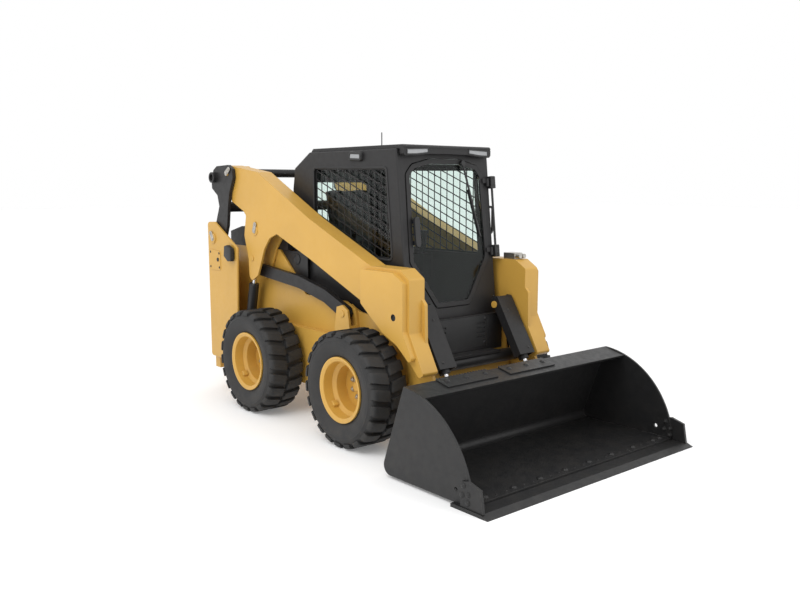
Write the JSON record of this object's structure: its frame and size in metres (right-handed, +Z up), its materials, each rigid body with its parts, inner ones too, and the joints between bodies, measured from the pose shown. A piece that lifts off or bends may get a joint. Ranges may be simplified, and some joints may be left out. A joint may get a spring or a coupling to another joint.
{
  "type": "skid steer loader",
  "caption": "Wheeled skid steer loader with an enclosed cab, vertical-lift arms on links and cylinders, lugged tyres and a wide dirt bucket with a bolt-on edge.",
  "frame": {"origin": "on the ground, midway between the rearmost point and the bucket's cutting edge, on the middle plane", "axes": "+X forward towards the bucket, +Y to the machine's left, +Z up"},
  "size_m": [3.867, 2.08, 2.232],
  "materials": {
    "black_paint": "satin black paint",
    "black_plastic": "grained plastic",
    "bucket_paint": "worn black paint",
    "cast_iron": "painted casting",
    "dark_steel": "plated steel",
    "glass": "clear tinted glass",
    "lamp_lens": "clear lamp lens",
    "rod_chrome": "ground chrome rod",
    "rubber": "matte rubber",
    "seat_cover": "woven seat cloth",
    "yellow_paint": "satin warm yellow paint"
  },
  "bodies": {
    "chassis": {"antenna": "black_plastic", "cab_floor": "black_paint", "cab_frame": "black_paint", "cab_roof": "black_paint", "consoles": "black_plastic", "engine_block": "cast_iron", "engine_hood": "black_paint", "front_cover": "black_plastic", "grab_handles": "black_paint", "main_frame": "yellow_paint", "rear_bumper": "yellow_paint", "rear_glass": "glass", "seat_back": "seat_cover", "seat_cushion": "seat_cover", "side_glass": "glass", "side_screens": "black_paint", "tail_lamps": "black_plastic", "tower_left": "yellow_paint", "tower_right": "yellow_paint", "work_lamps": "lamp_lens"},
    "control_links": {"control_links": "black_paint"},
    "rear_links": {"rear_link": "black_paint"},
    "lift_arms": {"arm_couplers": "dark_steel", "arm_front_tube": "black_paint", "arm_left": "yellow_paint", "arm_rear_tube": "black_paint", "arm_right": "yellow_paint"},
    "lift_barrels": {"lift_barrels": "black_paint"},
    "lift_rods": {"lift_rods": "rod_chrome"},
    "tilt_barrels": {"tilt_barrels": "black_paint", "tilt_guards": "black_paint"},
    "tilt_rods": {"tilt_rods": "rod_chrome"},
    "bucket": {"bucket_shell": "bucket_paint", "bucket_steps": "bucket_paint", "coupler_frame": "black_paint", "cutting_edge": "bucket_paint", "side_cutters": "bucket_paint"},
    "front_door": {"door_frame": "black_paint", "door_glass": "glass", "door_handle": "black_plastic", "door_wiper": "black_plastic"},
    "rear_door": {"rear_door": "yellow_paint"},
    "wheel_rear_right": {"tyre_rear_right": "rubber", "rim_rear_right": "yellow_paint", "axle_rear_right": "dark_steel"},
    "wheel_rear_left": {"tyre_rear_left": "rubber", "rim_rear_left": "yellow_paint", "axle_rear_left": "dark_steel"},
    "wheel_front_right": {"tyre_front_right": "rubber", "rim_front_right": "yellow_paint", "axle_front_right": "dark_steel"},
    "wheel_front_left": {"tyre_front_left": "rubber", "rim_front_left": "yellow_paint", "axle_front_left": "dark_steel"}
  },
  "joints": [
    {"name": "lift", "type": "hinge", "parent": "chassis", "child": "control_links", "pos_m": [-0.0035, 0, 0.885], "axis": [0, 1, 0], "range_deg": [0, 38]},
    {"name": "arm_pivot", "type": "hinge", "parent": "control_links", "child": "lift_arms", "pos_m": [-1.2185, 0, 1.12], "axis": [0, -1, 0], "range_deg": [0, 96.46]},
    {"name": "rear_link_pivot", "type": "hinge", "parent": "lift_arms", "child": "rear_links", "pos_m": [-1.5435, 0, 1.932], "axis": [0, 1, 0], "range_deg": [0, 33.66]},
    {"name": "lift_cylinder_pivot", "type": "hinge", "parent": "chassis", "child": "lift_barrels", "pos_m": [-1.4195, 0, 0.31], "axis": [0, -1, 0], "range_deg": [0, 3.45]},
    {"name": "lift_rod_slide", "type": "slide", "parent": "lift_barrels", "child": "lift_rods", "axis": [0.2222, 0, 0.975], "range_m": [0, 0.6442]},
    {"name": "tilt", "type": "hinge", "parent": "lift_arms", "child": "bucket", "pos_m": [0.9265, 0, 0.215], "axis": [0, 1, 0], "range_deg": [-28, 100]},
    {"name": "tilt_cylinder_pivot", "type": "hinge", "parent": "lift_arms", "child": "tilt_barrels", "pos_m": [0.6715, 0, 0.944], "axis": [0, -1, 0], "range_deg": [-0.91, 3.01]},
    {"name": "tilt_rod_slide", "type": "slide", "parent": "tilt_barrels", "child": "tilt_rods", "axis": [0.5165, 0, -0.8563], "range_m": [-0.0845, 0.2993]},
    {"name": "front_door_hinge", "type": "hinge", "parent": "chassis", "child": "front_door", "pos_m": [0.54925, 0.416, 1.29908], "axis": [-0.1058, 0, 0.9944], "range_deg": [0, 90]},
    {"name": "rear_door_hinge", "type": "hinge", "parent": "chassis", "child": "rear_door", "pos_m": [-1.9135, 0.484, 0.8], "axis": [0, 0, -1], "range_deg": [0, 100]},
    {"name": "wheel_rear_right_spin", "type": "hinge", "parent": "chassis", "child": "wheel_rear_right", "pos_m": [-0.9235, -0.75, 0.416], "axis": [0, 1, 0], "continuous": true},
    {"name": "wheel_rear_left_spin", "type": "hinge", "parent": "chassis", "child": "wheel_rear_left", "pos_m": [-0.9235, 0.75, 0.416], "axis": [0, 1, 0], "continuous": true},
    {"name": "wheel_front_right_spin", "type": "hinge", "parent": "chassis", "child": "wheel_front_right", "pos_m": [0.3465, -0.75, 0.416], "axis": [0, 1, 0], "continuous": true},
    {"name": "wheel_front_left_spin", "type": "hinge", "parent": "chassis", "child": "wheel_front_left", "pos_m": [0.3465, 0.75, 0.416], "axis": [0, 1, 0], "continuous": true}
  ],
  "couplings": [
    {"joint": "arm_pivot", "follows": "lift", "ratio": 2.5358},
    {"joint": "rear_link_pivot", "follows": "lift", "ratio": 0.88317},
    {"joint": "lift_cylinder_pivot", "follows": "lift", "ratio": 0.08819},
    {"joint": "lift_rod_slide", "follows": "lift", "m_per_rad": 0.96974},
    {"joint": "tilt_cylinder_pivot", "follows": "tilt", "ratio": 0.02907},
    {"joint": "tilt_rod_slide", "follows": "tilt", "m_per_rad": 0.17094}
  ]
}
